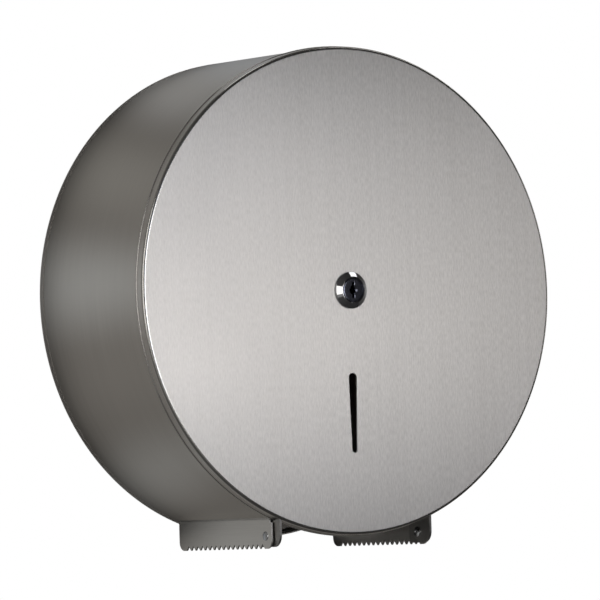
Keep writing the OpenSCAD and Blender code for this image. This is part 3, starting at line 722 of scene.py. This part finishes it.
sleeve = {"in": 22.8, "r": 25.0, "back": 9.4, "front": 106.7, "flangeR": 34, "flangeT": 2.5, "round": 0.8,
          "mouth": 0.3, "rings": (40, 80), "steps": 96,
          "nose": [(25.0, 105.9), (24.85, 106.1), (24.15, 106.6), (23.9, 106.7)]}
flangeFront = sleeve["back"] + sleeve["flangeT"]
flangeTurn = sleeve["flangeR"] - sleeve["round"]
mouthR = sleeve["in"] + sleeve["mouth"]
mouthBack = (sleeve["in"], sleeve["back"] + sleeve["mouth"])
profile = [mouthBack, (mouthR, sleeve["back"]), (flangeTurn, sleeve["back"])]
profile += arc((flangeTurn, sleeve["back"] + sleeve["round"]), sleeve["round"], -60, 0, 3)
profile += arc((flangeTurn, flangeFront - sleeve["round"]), sleeve["round"], 0, 90, 4)
profile += arc((sleeve["r"] + sleeve["round"], flangeFront + sleeve["round"]), sleeve["round"], -90, -180, 4)
profile += [(sleeve["r"], away) for away in sleeve["rings"]] + sleeve["nose"]
profile += [(mouthR, sleeve["front"]), (sleeve["in"], sleeve["front"] - sleeve["mouth"])]
profile += [(sleeve["in"], away) for away in reversed(sleeve["rings"])] + [mouthBack]
sleevePiece = turned("coreSleeve", profile, sleeve["steps"])
finishPiece(sleevePiece, "core", whitePlastic, "white_plastic", "core_sleeve")

keeper = {"r": 24.3, "back": 107, "front": 108.5, "hole": 12, "edge": 0.2, "slot": 6, "slotTop": 16.8,
          "cutBack": 105, "cutFront": 110, "screwRing": 19.85, "screwTurns": (30, 150, 270), "screwHole": 1.5,
          "soft": 0.15, "steps": 96}
screwPlaces = ringPlaces(keeper["screwRing"], keeper["screwTurns"])
keeperPiece = roundRing("latchKeeper", keeper["r"], keeper["hole"], keeper["back"], keeper["front"],
                        keeper["edge"], keeper["steps"])
cutOut(keeperPiece, block((-keeper["slot"], -keeper["cutFront"], 0),
                          (keeper["slot"], -keeper["cutBack"], keeper["slotTop"])),
       *[peg(keeper["screwHole"], keeper["cutBack"], keeper["cutFront"], x, z, 24) for x, z in screwPlaces])
soften(keeperPiece, keeper["soft"])
finishPiece(keeperPiece, "casing", plainSteel, "plain_steel", "latch_keeper")

screw = {"steps": 36, "crossLong": 1.7, "crossHalf": 0.4, "crossBack": 109.3, "crossFront": 112, "soft": 0.06,
         "outline": [(0, 99.3), (1.0, 99.4), (1.4, 99.9), (1.4, 108.5), (2.5, 108.5), (2.6, 108.62),
                     (2.6, 109.1), (2.4, 109.6), (1.9, 109.95), (1.2, 110.08), (0, 110.1)]}
x, z = screwPlaces[0]
screwPiece = turned("keeperScrews", screw["outline"], screw["steps"], "Y", (x, 0, z))
arms = ((screw["crossLong"], screw["crossHalf"]), (screw["crossHalf"], screw["crossLong"]))
cutOut(screwPiece, *[block((x - wide, -screw["crossFront"], z - high),
                           (x + wide, -screw["crossBack"], z + high)) for wide, high in arms])
soften(screwPiece, screw["soft"], 1)
finishPiece(joined(turnedCopies(screwPiece, (120, 240))), "casing", zincPlate, "zinc_plate", "keeper_screws")


# floor: a matt board far below, lit through so that it stays pale all round
ground = {"r": 9, "at": (0, 0, -1.3), "dark": "dcdbd8", "light": "e4e3e0", "mottle": 3, "roughness": 0.8,
          "glow": 0.5, "steps": 128}   # metres
deselect()
bpy.ops.mesh.primitive_circle_add(
    vertices=ground["steps"], radius=ground["r"], fill_type="NGON", location=ground["at"])
floor = bpy.context.object
floor.name = "paleFloor"
floorPaint, tree = newMaterial("mattPaleBoard")   # matt painted board, a little uneven
place = addNode(tree, "TexCoord")
mottle = addNode(tree, "TexNoise", {
    "Vector": place.outputs["Object"], "Scale": ground["mottle"], "Detail": 4})
tint = twoTones(tree, mottle.outputs["Fac"], (0, 1), ground["dark"], ground["light"])
shader = addNode(tree, "BsdfPrincipled", {
    "Base Color": tint, "Roughness": ground["roughness"],
    "Emission Color": hexColour(ground["light"]), "Emission Strength": ground["glow"]})
addNode(tree, "OutputMaterial", {"Surface": shader.outputs[0]})
floor.data.materials.append(floorPaint)
floor.visible_glossy = False   # the polished edges mirror the dark room, not the board

# a glowing card round the drum stands in for a pale wall: its emission is painted light in places, and
# painted shade close in, where the drum would shade a wall it only shows in the steel, and is open behind the
# drum so that the back stays lit
ring = {"inner": 155.8, "outer": 900, "behind": -0.5, "steps": 96}   # mm
# the card's painted light: its glow, with painted shade near the drum (nearDrum, shade) and round the outlet
# (outletShade)
wall = {"colour": "fffaf4", "strength": 0.225, "nearDrum": 0.01, "shade": (0.156, 0.185),
        "outlet": (0.08, 0, -0.17), "outletShade": (0.07, 0.16), "glowAt": 0.22, "glowR": 0.08}   # metres
paintedLightPatches = [   # painted patches of light, from the right and up over the top
    {"angle": 176, "strength": 0.42, "colour": "f0f9ff"},
    {"angle": 143, "strength": 0.19, "colour": "fdfffa"},
    {"angle": 112, "strength": 0.32, "colour": "f1f8ff"},
    {"angle": 90, "strength": 0.48, "colour": "e2efff"},
    {"angle": 235, "strength": 0.2, "colour": "f1faff"},
    {"angle": 205, "strength": 0.06, "colour": "fffaf4"}]
card = turned("wallCard", [(ring["inner"], ring["behind"]), (ring["outer"], ring["behind"])], ring["steps"])
bpy.ops.object.transform_apply(location=True)   # so that places on it are the room's
card.visible_camera = False
paintedLightCardMaterial, tree = newMaterial("paintedLightAndShadeCard")   # pure emission: painted light and painted shade in place of a lit matt wall
place = addNode(tree, "TexCoord")
fromMiddle = addNode(tree, "VectorMath", {"Vector": place.outputs["Object"]}, operation="LENGTH")
# painted shade: the glow falls almost to nothing round the outlet and close to the drum, where the drum would
# shade a wall
fromOutlet = addNode(tree, "VectorMath", {
    0: place.outputs["Object"], 1: wall["outlet"]}, operation="DISTANCE")
clear = spread(tree, fromOutlet.outputs["Value"], wall["outletShade"], (wall["nearDrum"], wall["strength"]),
               interpolation_type="SMOOTHSTEP")
paintedShadeLevel = spread(tree, fromMiddle.outputs["Value"], wall["shade"], (wall["nearDrum"], clear),
             interpolation_type="SMOOTHSTEP")
lit = addNode(tree, "Emission", {"Color": hexColour(wall["colour"]), "Strength": paintedShadeLevel})
# painted patches of light, each a soft round spot added to the glow
for glow in paintedLightPatches:
    angle = math.radians(glow["angle"])
    spot = (wall["glowAt"] * math.cos(angle), 0, wall["glowAt"] * math.sin(angle))
    near = addNode(tree, "VectorMath", {0: place.outputs["Object"], 1: spot}, operation="DISTANCE")
    fade = spread(tree, near.outputs["Value"], (0, wall["glowR"]), (glow["strength"], 0),
                  interpolation_type="SMOOTHSTEP")
    spotLit = addNode(tree, "Emission", {"Color": hexColour(glow["colour"]), "Strength": fade})
    lit = addNode(tree, "AddShader", {0: lit.outputs[0], 1: spotLit.outputs[0]})
addNode(tree, "OutputMaterial", {"Surface": lit.outputs[0]})
card.data.materials.append(paintedLightCardMaterial)

# room: dark in front, pale behind and a little light from the left; the camera sees plain white
room = {"front": 0.04, "behind": 0.6, "left": 0.05, "leftSpan": (-0.9, 0.1), "colour": "fffbf9"}
studio = bpy.data.worlds.new("paleStudio")
bpy.context.scene.world = studio
studio.use_nodes = True
tree = studio.node_tree
tree.nodes.clear()
seen = addNode(tree, "Background", {"Color": (1, 1, 1, 1), "Strength": 1.0})
facing = addNode(tree, "TexCoord")
sides = addNode(tree, "SeparateXYZ", {"Vector": facing.outputs["Generated"]})
depth = spread(tree, sides.outputs["Y"], (0, 1), (room["front"], room["behind"]))
left = spread(tree, sides.outputs["X"], room["leftSpan"], (room["left"], 0))
both = addNode(tree, "Math", {0: depth, 1: left}, operation="ADD")
unseen = addNode(tree, "Background", {"Color": hexColour(room["colour"]), "Strength": both.outputs["Value"]})
path = addNode(tree, "LightPath")
either = addNode(tree, "MixShader", {
    0: path.outputs["Is Camera Ray"], 1: unseen.outputs[0], 2: seen.outputs[0]})
addNode(tree, "OutputWorld", {"Surface": either.outputs[0]})

# lamps: azimuth 0 is in front and 90 to the right; degrees, metres and watts
lampAim = Vector((0, -0.06, 0))
lamps = {
    "frontPanel": {"azimuth": 5, "rise": 0, "away": 1.3,
                   "size": (0.4, 0.4), "power": 0.8, "colour": "dee9ff"},
    "warmPanel": {"azimuth": 15, "rise": 4, "away": 1.3,
                  "size": (0.26, 0.26), "power": 0.8, "colour": "fffaf4"},
    "lowPanel": {"azimuth": 10, "rise": -4, "away": 0.9,
                 "size": (0.18, 0.18), "power": 0.3, "colour": "fffcf9"},
    "highPanel": {"azimuth": 0, "rise": 12, "away": 0.9,
                  "size": (0.18, 0.18), "power": 0.155, "colour": "e1ecff"},
    "leftStrip": {"azimuth": -40, "rise": 2, "away": 2,
                  "size": (0.24, 1.25), "power": 2.0, "colour": "fffbf5"},
    "topStrip": {"azimuth": 81.3, "rise": 47, "away": 2,
                 "size": (0.14, 1.38), "power": 1.35, "colour": "ffffff", "turn": 39.7},
    "leftPanel": {"azimuth": -60, "rise": 10, "away": 2,
                  "size": (0.5, 1.5), "power": 3.3, "colour": "fffdfa"},
    "sidePanel": {"azimuth": -75, "rise": 0, "away": 2,
                  "size": (0.5, 1.2), "power": 1.3, "colour": "ffffff"},
    "rightPanel": {"azimuth": 80, "rise": 5, "away": 2,
                   "size": (1.4, 0.8), "power": 1.0, "colour": "ffffff"},
    "lowFront": {"azimuth": -17, "rise": -21, "away": 2,
                 "size": (2.4, 0.62), "power": 1.2, "colour": "fffdfa"},
    "overhead": {"azimuth": 0, "rise": 88, "away": 2,
                 "size": (0.6, 0.6), "power": 1.2, "colour": "ffffff"},
    "rearLeft": {"azimuth": -135, "rise": 15, "away": 2,
                 "size": (0.8, 1.6), "power": 4.8, "colour": "fffdfa"},
    "rearRight": {"azimuth": 150, "rise": 10, "away": 2,
                  "size": (0.8, 0.8), "power": 4.0, "colour": "fff9f3"},
}
for name, look in lamps.items():
    azimuth, rise = math.radians(look["azimuth"]), math.radians(look["rise"])
    out = Vector((math.sin(azimuth) * math.cos(rise), -math.cos(azimuth) * math.cos(rise), math.sin(rise)))
    deselect()
    bpy.ops.object.light_add(type="AREA", location=lampAim + out * look["away"])
    lamp = bpy.context.object
    lamp.name = name
    lamp.visible_camera = False
    lamp.data.shape = "RECTANGLE"
    lamp.data.size, lamp.data.size_y = look["size"]
    lamp.data.energy = look["power"]
    lamp.data.color = hexColour(look["colour"])[:3]
    twist = Matrix.Rotation(math.radians(look.get("turn", 0)), 3, "Z")
    lamp.rotation_euler = (out.to_track_quat("Z", "Y").to_matrix() @ twist).to_euler()
bpy.context.scene.view_settings.view_transform = "Standard"
print("studio lit")

deselect()
